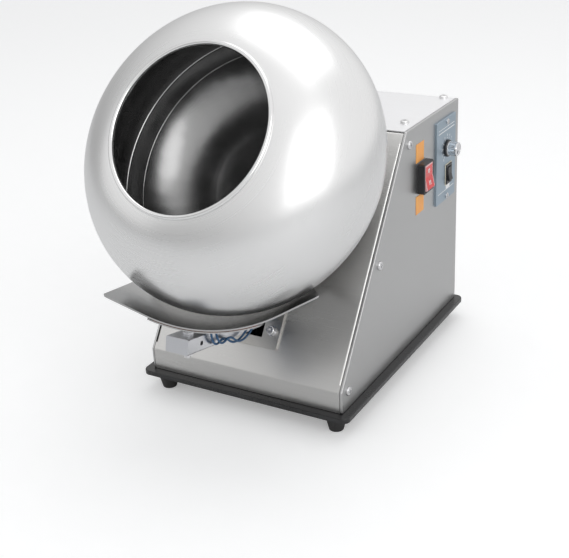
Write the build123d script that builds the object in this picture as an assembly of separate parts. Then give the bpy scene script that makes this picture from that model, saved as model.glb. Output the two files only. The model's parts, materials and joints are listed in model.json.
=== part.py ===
from build123d import *
from math import cos, pi, radians, sin, tan
import os

# Chocolate panning machine: a tilted spun pot on a sheet-metal drive housing,
# with a heated tray held under the pot by an arm. Millimetres, Z up, ground at z = 0,
# X to the control side, Y to the back with the housing's front edge at y = 0.

os.makedirs("parts", exist_ok=True)

# Feet and base plate
foot_height = 19
foot_top_d = 24
foot_bottom_d = 15
foot_recess_d = 10
foot_inset_x = 21
foot_inset_front = 18.5
foot_inset_back = 13.5
base_t = 5
base_side_margin = 9
base_front_margin = 9
base_back_margin = 5.2
base_corner_r = 8

# Housing sheets
lean = 35.5
housing_w = 228.1
housing_h = 243
housing_depth = 298.3
kick_h = 23.3
side_t = 2.5
side_edge_r = 1.0
sheet_t = 1.2
bend_r = 1.5
seam = 0.5
front_flange = 17
brow_flange = 14
rail_w = 18
rail_t = 2
rail_gap = 0.6

# Pot
pot_r = 150
pot_t = 1.5
pot_front_arc = 82
pot_back_arc = 86
mouth_r = 81.1
mouth_bead_r = 2.4
pot_along = 187.4
pot_stand_off = 122.5
hub_flange_d = 84
hub_flange_t = 6
hub_boss_d = 40
hub_boss_h = 19
hub_stud_circle = 62

# Shaft and drive, distances measured inward from the sloping front
shaft_d = 20
shaft_bore_d = 15
shaft_run = 26
running_gap = 0.05
drive_plate_in = 22
drive_plate_t = 5
drive_plate_w = 132
drive_plate_low = 75
drive_plate_high = 60
gusset_t = 4
stand_flange = 16
bearing_d = 42
bearing_w = 12
bearing_in = 5
bearing_housing_d = 70
bearing_bolt_circle = 56
gearbox_w = 90
gearbox_len = 60
gearbox_bolt_x = 37
motor_d = 88
motor_len = 78
fan_cover_len = 18

# Heater arm and its plate
arm_slope = 12.8
arm_w = 25
arm_h = 15
arm_wall = 2
arm_len = 185
arm_front_y = -102.3
arm_front_z = 133.1
arm_hole_d = 4.5
arm_hole_back = 22
plate_w = 66
plate_t = 3
plate_low = 27
plate_high = 95
window_w = 28
window_low = 37.2
window_high = 80
plate_screw_x = 24.2
plate_screw_inset = 18.4

# Heater tray: a dished sheet turned and rolled on its stud
tray_x = 6
tray_y = -46.2
tray_z = 127.3
tray_turn = 25.8
tray_roll = 4.2
tray_r = 138.5
tray_half_angle = 26.5
tray_half_len = 106.2
tray_front = 40
tray_len = 88
tray_taper = 10
tray_t = 1.5
pad_t = 1.0
clamp_t = 1.2
clamp_left = 60
clamp_right = 45
clamp_len = 56
stud_back = 18
stud_d = 6
lead_d = 2.2

# Main switch on the control side
switch_y = 196.5
switch_z = 208
switch_w = 25.5
switch_h = 33
switch_proud = 8
switch_body_depth = 24
rocker_w = 20
rocker_h = 27.2
rocker_tilt = 6

# Speed controller on the control side
control_y = 257.75
control_z = 208.25
control_w = 53.5
control_h = 94
control_plate_t = 2.5
control_body_w = 42
control_body_h = 74
control_body_depth = 36
knob_y = 260
knob_z = 220.5
knob_d = 15.5
knob_len = 13
run_y = 263.5
run_z = 190.5

# Fasteners
pan_head_d = 9.5
pan_head_h = 2.8
screw_d = 5
hole_gap = 0.25

FOOT = (Align.CENTER, Align.CENTER, Align.MIN)
CORNER = (Align.MIN, Align.MIN, Align.MIN)

# Derived positions
lean_rad = radians(lean)
floor_z = foot_height + base_t
crease_z = floor_z + kick_h
roof_z = floor_z + housing_h
brow_y = (housing_h - kick_h) * tan(lean_rad)
brow_along = (housing_h - kick_h) / cos(lean_rad)
inner_half = housing_w / 2 - side_t
panel_half = inner_half - seam
side_x = housing_w / 2
base_half = housing_w / 2 + base_side_margin
back_y = housing_depth
slope = Plane(
    origin=(0, 0, crease_z),
    x_dir=(1, 0, 0),
    z_dir=(0, -cos(lean_rad), sin(lean_rad)),
).location
drive = slope * Pos(0, pot_along, 0)
pot = slope * Pos(0, pot_along, pot_stand_off)
arm = Pos(0, arm_front_y, arm_front_z) * Rot(X=-arm_slope)
tray = Pos(tray_x, tray_y, tray_z) * Rot(X=-arm_slope) * Rot(Z=tray_turn) * Rot(Y=-tray_roll)

pieces = {}


def block(x0, x1, y0, y1, z0, z1):
    """Box between two corners."""
    return Pos(x0, y0, z0) * Box(x1 - x0, y1 - y0, z1 - z0, align=CORNER)


def rod(diameter, low, high):
    """Round bar along Z between two heights."""
    return Pos(0, 0, low) * Cylinder(diameter / 2, high - low, align=FOOT)


def ring(outer_d, inner_d, low, high):
    """Round tube along Z between two heights."""
    return rod(outer_d, low, high) - rod(inner_d, low - 1, high + 1)


def hexagon(across, low, high):
    """Hexagonal prism along Z, sized across its flats."""
    sketch = RegularPolygon(across / 2, 6, major_radius=False)
    return Pos(0, 0, low) * extrude(sketch, high - low)


def side_points():
    """Corner points of the housing's side view as (y, z)."""
    return [
        (0, floor_z),
        (0, crease_z),
        (brow_y, roof_z),
        (back_y, roof_z),
        (back_y, floor_z),
    ]


def shifted_line(points, distance):
    """Points of a line that runs parallel to another, on its right-hand side."""
    vectors = [Vector(*p) for p in points]
    runs = [(b - a).normalized() for a, b in zip(vectors, vectors[1:])]
    sides = [Vector(run.Y, -run.X) for run in runs]
    moved = [vectors[0] + sides[0] * distance]
    for corner, before, after in zip(vectors[1:], sides, sides[1:]):
        mitre = (before + after).normalized()
        moved.append(corner + mitre * (distance / mitre.dot(before)))
    moved.append(vectors[-1] + sides[-1] * distance)
    return moved


def folded(points, thickness, inside_r):
    """Section of a folded sheet whose outer line passes through the points."""
    outer = FilletPolyline(*[Vector(*p) for p in points], radius=inside_r + thickness)
    inner = FilletPolyline(*shifted_line(points, thickness), radius=inside_r)
    ends = [Line(outer @ 0, inner @ 0), Line(outer @ 1, inner @ 1)]
    return make_face([*outer.edges(), *inner.edges(), *ends])


def pan_screw(shank):
    """Pan-head screw with a cross recess; its head stands on z = 0."""
    head = rod(pan_head_d, 0, pan_head_h)
    head = fillet(head.edges().sort_by(Axis.Z)[-1], pan_head_h * 0.55)
    recess = Box(pan_head_d * 0.5, 1.1, 1.2) + Box(1.1, pan_head_d * 0.5, 1.2)
    head -= Pos(0, 0, pan_head_h) * recess
    return head + rod(screw_d, -shank, 0.5)


def socket_screw(diameter, shank):
    """Socket-head screw; its head stands on z = 0."""
    head = rod(diameter * 1.7, 0, diameter)
    head = chamfer(head.edges().sort_by(Axis.Z)[-1], diameter * 0.12)
    head -= hexagon(diameter * 0.8, diameter * 0.5, diameter + 1)
    return head + rod(diameter, -shank, 0.5)


def hex_screw(diameter, shank):
    """Hexagon-head screw; its head stands on z = 0."""
    return hexagon(diameter * 1.6, 0, diameter * 0.65) + rod(diameter, -shank, 0.5)


# Base plate and feet
foot_x = base_half - foot_inset_x
foot_front_y = foot_inset_front - base_front_margin
foot_back_y = back_y + base_back_margin - foot_inset_back
foot_spots = [
    ("front_left_foot", -foot_x, foot_front_y),
    ("front_right_foot", foot_x, foot_front_y),
    ("back_left_foot", -foot_x, foot_back_y),
    ("back_right_foot", foot_x, foot_back_y),
]
base_depth = back_y + base_back_margin + base_front_margin
base_mid_y = base_depth / 2 - base_front_margin
plate_sketch = RectangleRounded(2 * base_half, base_depth, base_corner_r)
base_plate = Pos(0, base_mid_y, foot_height) * extrude(plate_sketch, base_t)
base_plate = fillet(base_plate.edges().group_by(Axis.Z)[-1], 1)
foot_hole = rod(screw_d + 2 * running_gap, 0, floor_z + 1)
foot_web = foot_height * 0.35
foot_cone = Solid.make_cone(foot_bottom_d / 2, foot_top_d / 2, foot_height)
foot = Part() + foot_cone
foot = fillet(foot.edges().filter_by(GeomType.CIRCLE), 0.8)
foot -= rod(foot_recess_d, -1, foot_height - foot_web)
foot -= foot_hole
foot_screws = []
for name, x, y in foot_spots:
    pieces[name] = Pos(x, y, 0) * foot
    base_plate -= Pos(x, y, 0) * foot_hole
    screw = Rot(X=180) * pan_screw(foot_web + base_t - 0.5)
    foot_screws.append(Pos(x, y, foot_height - foot_web) * screw)
pieces["foot_screws"] = Part() + foot_screws

# Side panels
side_outline = [Vector(0, y, z) for y, z in side_points()]
side_face = make_face(Polyline(*side_outline, close=True))
side_face = fillet(side_face.vertices(), 2)
side_panel = Pos(inner_half, 0, 0) * extrude(side_face, side_t, dir=(1, 0, 0))
side_panel = fillet(side_panel.edges().group_by(Axis.X)[-1], side_edge_r)
screw_reach = front_flange * 0.75
screw_spots = [
    Vector(0, screw_reach, floor_z + kick_h * 0.87),
    Vector(0, brow_y * 0.48 + screw_reach, crease_z + (roof_z - crease_z) * 0.46),
    Vector(0, brow_y + 4.6, roof_z - 14.8),
]
side_hole = Rot(Y=90) * rod(screw_d + 2 * hole_gap, -side_t * 4, side_t * 4)
for spot in screw_spots:
    side_panel -= Pos(side_x, spot.Y, spot.Z) * side_hole

# Sloping front: kick strip, lean and top flange in one sheet, with side flanges
brow_z = roof_z - sheet_t - seam
brow_line_y = (brow_z - crease_z) * tan(lean_rad)
front_line = [
    (0, floor_z + seam),
    (0, crease_z),
    (brow_line_y, brow_z),
    (brow_line_y + brow_flange, brow_z),
]
front_section = Plane.YZ * folded(front_line, sheet_t, bend_r)
front_panel = extrude(front_section, panel_half, both=True)
bend_out = bend_r + sheet_t
flange_low = 8
flange_high = brow_along - 12
notch = block(panel_half - bend_out, panel_half + 1, flange_low, flange_high, -sheet_t - 1, 1)
flange_line = [(panel_half - bend_out - 1, 0), (panel_half, 0), (panel_half, -front_flange)]
flange_section = Plane.XZ * folded(flange_line, sheet_t, bend_r)
flange = Pos(0, flange_low, 0) * extrude(flange_section, -(flange_high - flange_low))
flange_holes = [Pos(side_x, spot.Y, spot.Z) * side_hole for spot in screw_spots]
for turn in (1, -1):
    side_notch = notch if turn > 0 else mirror(notch, Plane.YZ)
    side_flange = flange if turn > 0 else mirror(flange, Plane.YZ)
    front_panel -= slope * side_notch
    front_panel += slope * side_flange
    for hole in flange_holes:
        front_panel -= hole if turn > 0 else mirror(hole, Plane.YZ)
window_gap = 1
window_cut = block(
    -window_w / 2 - window_gap,
    window_w / 2 + window_gap,
    window_low - window_gap,
    window_high + window_gap,
    -plate_t,
    plate_t,
)
front_panel -= slope * window_cut
front_panel -= drive * rod(shaft_d + 8, -sheet_t - 2, 2)

# Top cover with a folded back edge
roof_line = [(brow_y + 0.4, roof_z), (back_y, roof_z), (back_y, roof_z - rail_w * 0.5)]
roof_section = Plane.YZ * folded(roof_line, sheet_t, bend_r)
top_cover = extrude(roof_section, panel_half, both=True)

# Back cover, below the top cover's folded edge
back_high = roof_z - rail_w * 0.5 - seam
back_cover = block(-panel_half, panel_half, back_y - sheet_t, back_y, floor_z + seam, back_high)
slot_count = 7
slot_pitch = 11
slot_shape = SlotOverall(62, 3.6)
slot_cut = Plane.XZ * extrude(slot_shape, sheet_t * 3, both=True)
for bank_x in (-48, 48):
    for row in range(slot_count):
        spot_z = roof_z - 52 - row * slot_pitch
        back_cover -= Pos(bank_x, back_y, spot_z) * slot_cut
inlet_x = 50
inlet_z = floor_z + 42
inlet_w = 27.5
inlet_h = 20
inlet_slack = 0.4
back_cover -= block(
    inlet_x - inlet_w / 2 - inlet_slack,
    inlet_x + inlet_w / 2 + inlet_slack,
    back_y - sheet_t - 1,
    back_y + 1,
    inlet_z - inlet_h / 2 - inlet_slack,
    inlet_z + inlet_h / 2 + inlet_slack,
)

# Rails: angle strips inside the side panels
rail_top_z = roof_z - sheet_t
back_in_y = back_y - sheet_t
rail_end_y = back_in_y - bend_r - 0.5
rail_front_y = brow_line_y + brow_flange + 4


def angle_strip(length):
    """Right-hand angle strip along +Y: one leg outward at x = 0, one leg below z = 0."""
    level = block(-rail_w, 0, 0, length, -rail_t, 0)
    upright = block(-rail_t, 0, 0, length, -rail_w, 0)
    return level + upright


top_rail = Pos(inner_half, rail_front_y, rail_top_z) * angle_strip(rail_end_y - rail_front_y)
base_rail_front = foot_front_y + pan_head_d
base_rail = angle_strip(back_in_y - base_rail_front)
base_rail = Pos(inner_half, base_rail_front, floor_z) * mirror(base_rail, Plane.XY)
back_rail_low = floor_z + rail_w + rail_gap
back_rail_high = rail_top_z - rail_w - rail_gap
back_rail = Rot(X=90) * angle_strip(back_rail_high - back_rail_low)
back_rail = Pos(inner_half, back_in_y, back_rail_high) * mirror(back_rail, Plane.XZ)
back_rail = Pos(0, 0, back_rail_low - back_rail.bounding_box().min.Z) * back_rail

# Top cover screws, back cover screws and their holes
rail_screw_x = inner_half - rail_w * 0.72
roof_screw_ys = [brow_y + 30, back_y - 5.8]
screw_hole = rod(screw_d + 2 * hole_gap, -rail_w, rail_w)
tap_hole = rod(screw_d + 2 * running_gap, -rail_w * 0.6, rail_w * 0.6)
roof_screws = []
for x in (-rail_screw_x, rail_screw_x):
    for y in roof_screw_ys:
        screw = pan_screw(sheet_t + rail_t + 4)
        top_cover -= Pos(x, y, roof_z) * screw_hole
        roof_screws.append(Pos(x, y, roof_z) * screw)
for y in roof_screw_ys:
    top_rail -= Pos(rail_screw_x, y, roof_z) * tap_hole
pieces["top_cover_screws"] = Part() + roof_screws

back_screw_zs = [
    back_rail_low + 12,
    (back_rail_low + back_rail_high) / 2,
    back_rail_high - 12,
]
back_screws = []
for z in back_screw_zs:
    for x in (-rail_screw_x, rail_screw_x):
        back_cover -= Pos(x, back_y, z) * Rot(X=-90) * screw_hole
        screw = pan_screw(sheet_t + rail_t + 4)
        back_screws.append(Pos(x, back_y, z) * Rot(X=-90) * screw)
    back_rail -= Pos(rail_screw_x, back_y, z) * Rot(X=-90) * tap_hole
pieces["back_cover_screws"] = Part() + back_screws

# Side panel screws, through the panels into the front's side flanges
side_screws = []
for spot in screw_spots:
    screw = Rot(Y=90) * pan_screw(side_t + seam + sheet_t + 2)
    right_screw = Pos(side_x, spot.Y, spot.Z) * screw
    side_screws.append(right_screw)
    side_screws.append(mirror(right_screw, Plane.YZ))
pieces["side_panel_screws"] = Part() + side_screws

# Drive stand: sloping plate, two gussets and two foot flanges, welded
stand_out = -drive_plate_in
stand_in = -drive_plate_in - drive_plate_t
plate_half = drive_plate_w / 2
drive_stand = drive * block(
    -plate_half,
    plate_half,
    -drive_plate_low,
    drive_plate_high,
    stand_in,
    stand_out,
)
plate_top = (drive * Pos(0, drive_plate_high, stand_in)).position
plate_bottom = (drive * Pos(0, -drive_plate_low, stand_in)).position
gusset_back_y = plate_top.Y + 48
gusset_points = [
    (plate_bottom.Y, plate_bottom.Z),
    (plate_top.Y, plate_top.Z),
    (gusset_back_y, floor_z + 50),
    (gusset_back_y, floor_z),
    (plate_bottom.Y, floor_z),
]
gusset_face = make_face(Polyline(*[Vector(0, y, z) for y, z in gusset_points], close=True))
gusset = Pos(plate_half - gusset_t, 0, 0) * extrude(gusset_face, gusset_t, dir=(1, 0, 0))
stand_foot = block(
    plate_half - gusset_t,
    plate_half + stand_flange,
    plate_bottom.Y,
    gusset_back_y,
    floor_z,
    floor_z + gusset_t,
)
stand_side = gusset + stand_foot
drive_stand = drive_stand + stand_side + mirror(stand_side, Plane.YZ)
drive_stand -= drive * rod(shaft_d + 10, stand_in - 1, stand_out + 1)

# Base screws from below into the rails, the stand and the arm bracket
bracket_half = 40
bracket_y = 70
bracket_depth = 30
bracket_t = 3
stand_screw_x = plate_half + stand_flange * 0.55
base_screw_spots = [
    (rail_screw_x, base_rail_front + 22),
    (rail_screw_x, back_in_y - 40),
    (stand_screw_x, plate_bottom.Y + 14),
    (stand_screw_x, gusset_back_y - 14),
    (bracket_half * 0.78, bracket_y),
]
base_screw = Rot(X=180) * hex_screw(screw_d, base_t + gusset_t)
base_hole = rod(screw_d + 2 * running_gap, foot_height - 2, floor_z + gusset_t + 2)
base_screws = []
base_holes = []
for x, y in base_screw_spots:
    for turn in (1, -1):
        base_screws.append(Pos(turn * x, y, foot_height) * base_screw)
        base_holes.append(Pos(turn * x, y, 0) * base_hole)
pieces["base_plate_screws"] = Part() + base_screws
base_plate -= base_holes
drive_stand -= base_holes
for hole in base_holes[0:4:2]:
    base_rail -= hole

# Pot: front and back bowls butt-welded at the equator, and a rolled mouth bead
front_arc_x = pot_r - pot_front_arc
back_arc_x = pot_r - pot_back_arc
edge_rise = (pot_front_arc**2 - (mouth_r + mouth_bead_r - front_arc_x) ** 2) ** 0.5
front_outer = CenterArc((front_arc_x, 0), pot_front_arc, 0, 90)
front_inner = CenterArc((front_arc_x, 0), pot_front_arc - pot_t, 0, 90)
front_face = make_face(
    [
        *front_outer.edges(),
        *front_inner.edges(),
        Line(front_outer @ 0, front_inner @ 0),
        Line(front_outer @ 1, front_inner @ 1),
    ]
)
neck_x = mouth_r
front_face -= Pos(neck_x / 2, 0) * Rectangle(neck_x, 4 * pot_r)
front_bowl = revolve(Plane.XZ * front_face, Axis.Z)
back_outer = CenterArc((back_arc_x, 0), pot_back_arc, -90, 90)
back_inner = CenterArc((back_arc_x, 0), pot_back_arc - pot_t, -90, 90)
back_face = make_face(
    [
        *back_outer.edges(),
        *back_inner.edges(),
        Line(back_outer @ 1, back_inner @ 1),
        Line(back_outer @ 0, (0, -pot_back_arc)),
        Line((0, -pot_back_arc), (0, pot_t - pot_back_arc)),
        Line((0, pot_t - pot_back_arc), back_inner @ 0),
    ]
)
back_bowl = revolve(Plane.XZ * back_face, Axis.Z)
bead_z = (pot_front_arc**2 - (mouth_r - front_arc_x) ** 2) ** 0.5
bead_face = Pos(mouth_r, bead_z + 0.3) * Circle(mouth_bead_r)
bead_face -= front_face
mouth_bead = revolve(Plane.XZ * bead_face, Axis.Z)
pieces["pot_front_bowl"] = pot * front_bowl
pieces["pot_back_bowl"] = pot * back_bowl
pieces["pot_mouth_bead"] = pot * mouth_bead

# Pot hub with its weld studs and nuts
hub_face_out = pot_stand_off - pot_back_arc
hub_back_out = hub_face_out - hub_flange_t
hub_low = hub_back_out - hub_boss_h
hub = rod(hub_flange_d, hub_back_out, hub_face_out) + rod(hub_boss_d, hub_low, hub_back_out)
hub = fillet(hub.edges().filter_by(GeomType.CIRCLE).group_by(Axis.Z)[0], 1.5)
hub -= rod(shaft_d, hub_low - 1, hub_face_out - 1)
stud_hole = rod(6 + 2 * hole_gap, hub_back_out - 1, hub_face_out + 1)
hub_stud = rod(6, hub_back_out - 8, hub_face_out) + hexagon(10, hub_back_out - 5, hub_back_out)
hub_bolts = []
for k in range(4):
    spot = Rot(Z=45 + 90 * k) * Pos(hub_stud_circle / 2, 0, 0)
    hub -= spot * stud_hole
    hub_bolts.append(drive * spot * hub_stud)
pieces["pot_hub"] = drive * hub
pieces["pot_hub_studs"] = Part() + hub_bolts

# Main shaft: turns in the bearing and takes the gearbox shaft in its bore
shaft_bore_depth = 24
main_shaft = rod(shaft_d, -shaft_run, hub_face_out - 2)
main_shaft = chamfer(main_shaft.edges().filter_by(GeomType.CIRCLE), 0.8)
main_shaft -= rod(shaft_bore_d + 2 * running_gap, -shaft_run - 1, shaft_bore_depth - shaft_run)
pieces["main_shaft"] = drive * main_shaft

# Bearing in its round housing on the stand's plate
bearing_out = -bearing_in
bearing_end = -bearing_in - bearing_w
housing_ring = rod(bearing_housing_d, stand_out, bearing_out)
housing_ring = chamfer(housing_ring.edges().group_by(Axis.Z)[-1], 1)
housing_ring -= rod(bearing_d + 2 * running_gap, bearing_end, bearing_out + 1)
housing_ring -= rod(shaft_d + 10, stand_out - 1, bearing_out + 1)
bolt_head_h = 4
housing_bolt = Pos(0, 0, bearing_out - 5) * socket_screw(4, bearing_w + drive_plate_t)
housing_bore = rod(4 + 2 * hole_gap, stand_in - 1, bearing_out + 1)
housing_sink = rod(8, bearing_out - 5, bearing_out + 1)
housing_bolts = []
for k in range(4):
    spot = Rot(Z=45 + 90 * k) * Pos(bearing_bolt_circle / 2, 0, 0)
    housing_ring -= spot * housing_bore
    housing_ring -= spot * housing_sink
    drive_stand -= drive * spot * housing_bore
    housing_bolts.append(drive * spot * housing_bolt)
pieces["bearing_housing"] = drive * housing_ring
pieces["bearing_housing_bolts"] = Part() + housing_bolts
bearing = ring(bearing_d, shaft_d + 2 * running_gap, bearing_end, bearing_out)
shield_groove = ring(bearing_d - 9, shaft_d + 7, bearing_out - 0.5, bearing_out + 1)
bearing -= shield_groove
pieces["shaft_bearing"] = drive * bearing

# Gearbox, its output shaft and the long bolts through it
gearbox_sketch = RectangleRounded(gearbox_w, gearbox_w, 9)
gearbox = Pos(0, 0, stand_in - gearbox_len) * extrude(gearbox_sketch, gearbox_len)
gear_bore_depth = 12
gearbox -= rod(shaft_bore_d + 2 * running_gap, stand_in - gear_bore_depth, stand_in + 1)
waist = ring(gearbox_w * 2, gearbox_w + 6, stand_in - gearbox_len * 0.8, stand_in - gearbox_len * 0.2)
gearbox -= waist
output_shaft = rod(shaft_bore_d, stand_in - gear_bore_depth, shaft_bore_depth - shaft_run - 0.5)
output_shaft = chamfer(output_shaft.edges().filter_by(GeomType.CIRCLE), 0.6)
pieces["gearbox_output_shaft"] = drive * output_shaft
gear_bolt_len = drive_plate_t + gearbox_len * 0.5
gear_bolt_hole = rod(6 + 2 * hole_gap, stand_in - gear_bolt_len, stand_out + 1)
gear_bolts = []
for x in (-gearbox_bolt_x, gearbox_bolt_x):
    for y in (-gearbox_bolt_x, gearbox_bolt_x):
        gearbox -= Pos(x, y, 0) * gear_bolt_hole
        drive_stand -= drive * Pos(x, y, 0) * gear_bolt_hole
        gear_bolts.append(drive * Pos(x, y, stand_out) * socket_screw(6, gear_bolt_len))
pieces["gearbox_bolts"] = Part() + gear_bolts
pieces["gearbox"] = drive * gearbox
pieces["drive_stand"] = drive_stand

# Motor with ribs, and its fan cover
motor_out = stand_in - gearbox_len
motor_end = motor_out - motor_len
motor = rod(motor_d, motor_end, motor_out)
rib_count = 4
for k in range(rib_count):
    groove_at = motor_out - motor_len * (0.25 + 0.15 * k)
    motor -= ring(motor_d + 2, motor_d - 4, groove_at - 3, groove_at + 3)
motor = chamfer(motor.edges().group_by(Axis.Z)[0], 1)
pieces["gear_motor"] = drive * motor
fan_cover = rod(motor_d - 4, motor_end - fan_cover_len, motor_end)
fan_cover = fillet(fan_cover.edges().group_by(Axis.Z)[0], 6)
fan_slot = Pos(0, 0, motor_end - fan_cover_len) * Box(motor_d * 0.6, 3, 6)
for k in range(4):
    fan_cover -= Pos(0, (k - 1.5) * 12, 0) * fan_slot
pieces["motor_fan_cover"] = drive * fan_cover

# Run capacitor lying on the base behind the motor
capacitor_len = 52
capacitor_w = 30
capacitor = block(0, capacitor_len, 0, 22, 0, capacitor_w)
capacitor = fillet(capacitor.edges().filter_by(Axis.X), 3)
pieces["run_capacitor"] = Pos(-70, back_in_y - 50, floor_z) * capacitor

# Arm: a rectangular tube closed at its front end, clamped in a bracket inside
arm_tube = block(-arm_w / 2, arm_w / 2, 0, arm_len, -arm_h, 0)
arm_tube = fillet(arm_tube.edges().filter_by(Axis.Y), 1.2)
arm_tube -= block(
    -arm_w / 2 + arm_wall,
    arm_w / 2 - arm_wall,
    arm_wall,
    arm_len + 1,
    -arm_h + arm_wall,
    -arm_wall,
)
arm_tube -= Pos(0, arm_hole_back, -arm_h / 2) * Rot(Y=90) * rod(arm_hole_d, -arm_w, arm_w)
bolt_run = (bracket_y - arm_front_y) / cos(radians(arm_slope)) - arm_h / 2 * tan(radians(arm_slope))
bolt_spot = (arm * Pos(0, bolt_run, -arm_h / 2)).position
arm_bolt_d = 6
cross_hole = Rot(Y=90) * rod(arm_bolt_d + 2 * running_gap, -bracket_half, bracket_half)
arm_tube -= Pos(0, bolt_run, -arm_h / 2) * cross_hole
stud_hole = Pos(0, stud_back, 0) * rod(stud_d + 2 * running_gap, -arm_h - 1, 1)
arm_tube -= stud_hole
pieces["heater_arm"] = arm * arm_tube

# Bracket that holds the arm's inner end on the base plate
cheek_x = arm_w / 2 + 0.3
cheek_top = bolt_spot.Z + 13
bracket_foot = block(
    -bracket_half,
    bracket_half,
    bracket_y - bracket_depth / 2,
    bracket_y + bracket_depth / 2,
    floor_z,
    floor_z + bracket_t,
)
cheek = block(
    cheek_x,
    cheek_x + bracket_t,
    bracket_y - bracket_depth / 2,
    bracket_y + bracket_depth / 2,
    floor_z,
    cheek_top,
)
cheek = fillet(cheek.edges().filter_by(Axis.X).group_by(Axis.Z)[-1], 6)
arm_bracket = bracket_foot + cheek + mirror(cheek, Plane.YZ)
arm_bracket -= Pos(0, bolt_spot.Y, bolt_spot.Z) * cross_hole
arm_bracket -= base_holes
pieces["arm_bracket"] = arm_bracket
bolt_head_x = cheek_x + bracket_t
arm_bolt = Pos(bolt_head_x, 0, 0) * Rot(Y=90) * hex_screw(arm_bolt_d, 2 * bolt_head_x + 3)
pieces["arm_bolt"] = Pos(0, bolt_spot.Y, bolt_spot.Z) * arm_bolt

# Window plate on the sloping front
window_plate = block(-plate_w / 2, plate_w / 2, plate_low, plate_high, 0, plate_t)
window_plate = fillet(window_plate.edges().filter_by(Axis.Z), 2.5)
window_plate -= block(
    -window_w / 2,
    window_w / 2,
    window_low,
    window_high,
    -1,
    plate_t + 1,
)
plate_hole = rod(screw_d + 2 * running_gap, -sheet_t - 1, plate_t + 1)
washer = Pos(0, 0, 0) * rod(11, 0, 1.2)
plate_screws = []
for x in (-plate_screw_x, plate_screw_x):
    for along in (plate_low + plate_screw_inset, plate_high - plate_screw_inset * 0.6):
        window_plate -= Pos(x, along, 0) * plate_hole
        front_panel -= slope * Pos(x, along, 0) * plate_hole
        screw = washer + Pos(0, 0, 1.2) * socket_screw(screw_d, plate_t + sheet_t + 4)
        plate_screws.append(slope * Pos(x, along, plate_t) * screw)
pieces["window_plate"] = slope * window_plate
pieces["window_plate_screws"] = Part() + plate_screws


# Heater tray, its heating pad and the clamp plate below
def dished(half_left, half_right, low, high):
    """Section of a round strip under the tray, between two depths below its mid-line."""
    left = half_left / tray_r
    right = half_right / tray_r

    def spot(turn, depth):
        return ((tray_r + depth) * sin(turn), tray_r - (tray_r + depth) * cos(turn))

    middle = (right - left) / 2
    lower = ThreePointArc(spot(-left, low), spot(middle, low), spot(right, low))
    upper = ThreePointArc(spot(-left, high), spot(middle, high), spot(right, high))
    ends = [Line(lower @ 0, upper @ 0), Line(lower @ 1, upper @ 1)]
    return make_face([*lower.edges(), *upper.edges(), *ends])


turn_rad = radians(tray_half_angle)
wing_len = tray_half_len - tray_r * turn_rad
wing_start = Vector(tray_r * sin(turn_rad), tray_r * (1 - cos(turn_rad)))
wing_dir = Vector(cos(turn_rad), sin(turn_rad))
wing_normal = Vector(sin(turn_rad), -cos(turn_rad)) * (tray_t / 2)
wing_end = wing_start + wing_dir * (wing_len + 2)
wing_face = make_face(
    Polyline(
        wing_start + wing_normal,
        wing_end + wing_normal,
        wing_end - wing_normal,
        wing_start - wing_normal,
        close=True,
    )
)
arc_len = tray_r * turn_rad
tray_face = dished(arc_len, arc_len, tray_t / 2, -tray_t / 2)
tray_face = tray_face + wing_face + mirror(wing_face, Plane.YZ)
tray_sheet = Pos(0, -tray_front, 0) * extrude(Plane.XZ * tray_face, -tray_len)
front_half = wing_start.X + wing_len * cos(turn_rad)
back_half = front_half - tray_len * tan(radians(tray_taper)) * cos(turn_rad)
trim_sketch = make_face(
    Polyline(
        (-front_half, -tray_front),
        (front_half, -tray_front),
        (back_half, tray_len - tray_front),
        (-back_half, tray_len - tray_front),
        close=True,
    )
)
trim_sketch = fillet(trim_sketch.vertices(), 3)
tray_sheet &= extrude(trim_sketch, tray_r, both=True)
pieces["heater_tray"] = tray * tray_sheet
pad_face = dished(clamp_left - 5, clamp_right - 3, tray_t / 2 + 0.03, tray_t / 2 + pad_t - 0.03)
pad = Pos(0, 3 - tray_front, 0) * extrude(Plane.XZ * pad_face, -(clamp_len - 4))
clamp_high = tray_t / 2 + pad_t
clamp_face = dished(clamp_left, clamp_right, clamp_high, clamp_high + clamp_t)
clamp_plate = Pos(0, 1 - tray_front, 0) * extrude(Plane.XZ * clamp_face, -clamp_len)
lead_starts = [(-2, -27), (2, -22)]
for x, y in lead_starts:
    clamp_plate -= Pos(x, y, 0) * rod(lead_d + 1.6, -8, 0)
pieces["heater_pad"] = tray * pad

# Stud, clamped on the arm with two nuts, welded to the clamp plate
stud_low = -arm_h - 8
stud_reach = 12
stud_bar = Pos(0, stud_back, 0) * rod(stud_d, stud_low, stud_reach)
stud_cut = dished(clamp_left, clamp_right, clamp_high + clamp_t, -stud_reach * 2)
stud_mask = Pos(0, -tray_front - 20, 0) * extrude(Plane.XZ * stud_cut, -(clamp_len + 40))
stud_bar = arm * stud_bar - tray * stud_mask
pieces["tray_stud"] = stud_bar
pieces["tray_clamp_plate"] = tray * clamp_plate
nut_t = 2.4
upper_nut = hexagon(10, 0.1, nut_t) - rod(stud_d, -1, nut_t + 1)
lower_nut = hexagon(10, -arm_h - 5, -arm_h) - rod(stud_d, -arm_h - 6, 0)
pieces["tray_stud_nuts"] = arm * Pos(0, stud_back, 0) * (Part() + [upper_nut, lower_nut])

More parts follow.
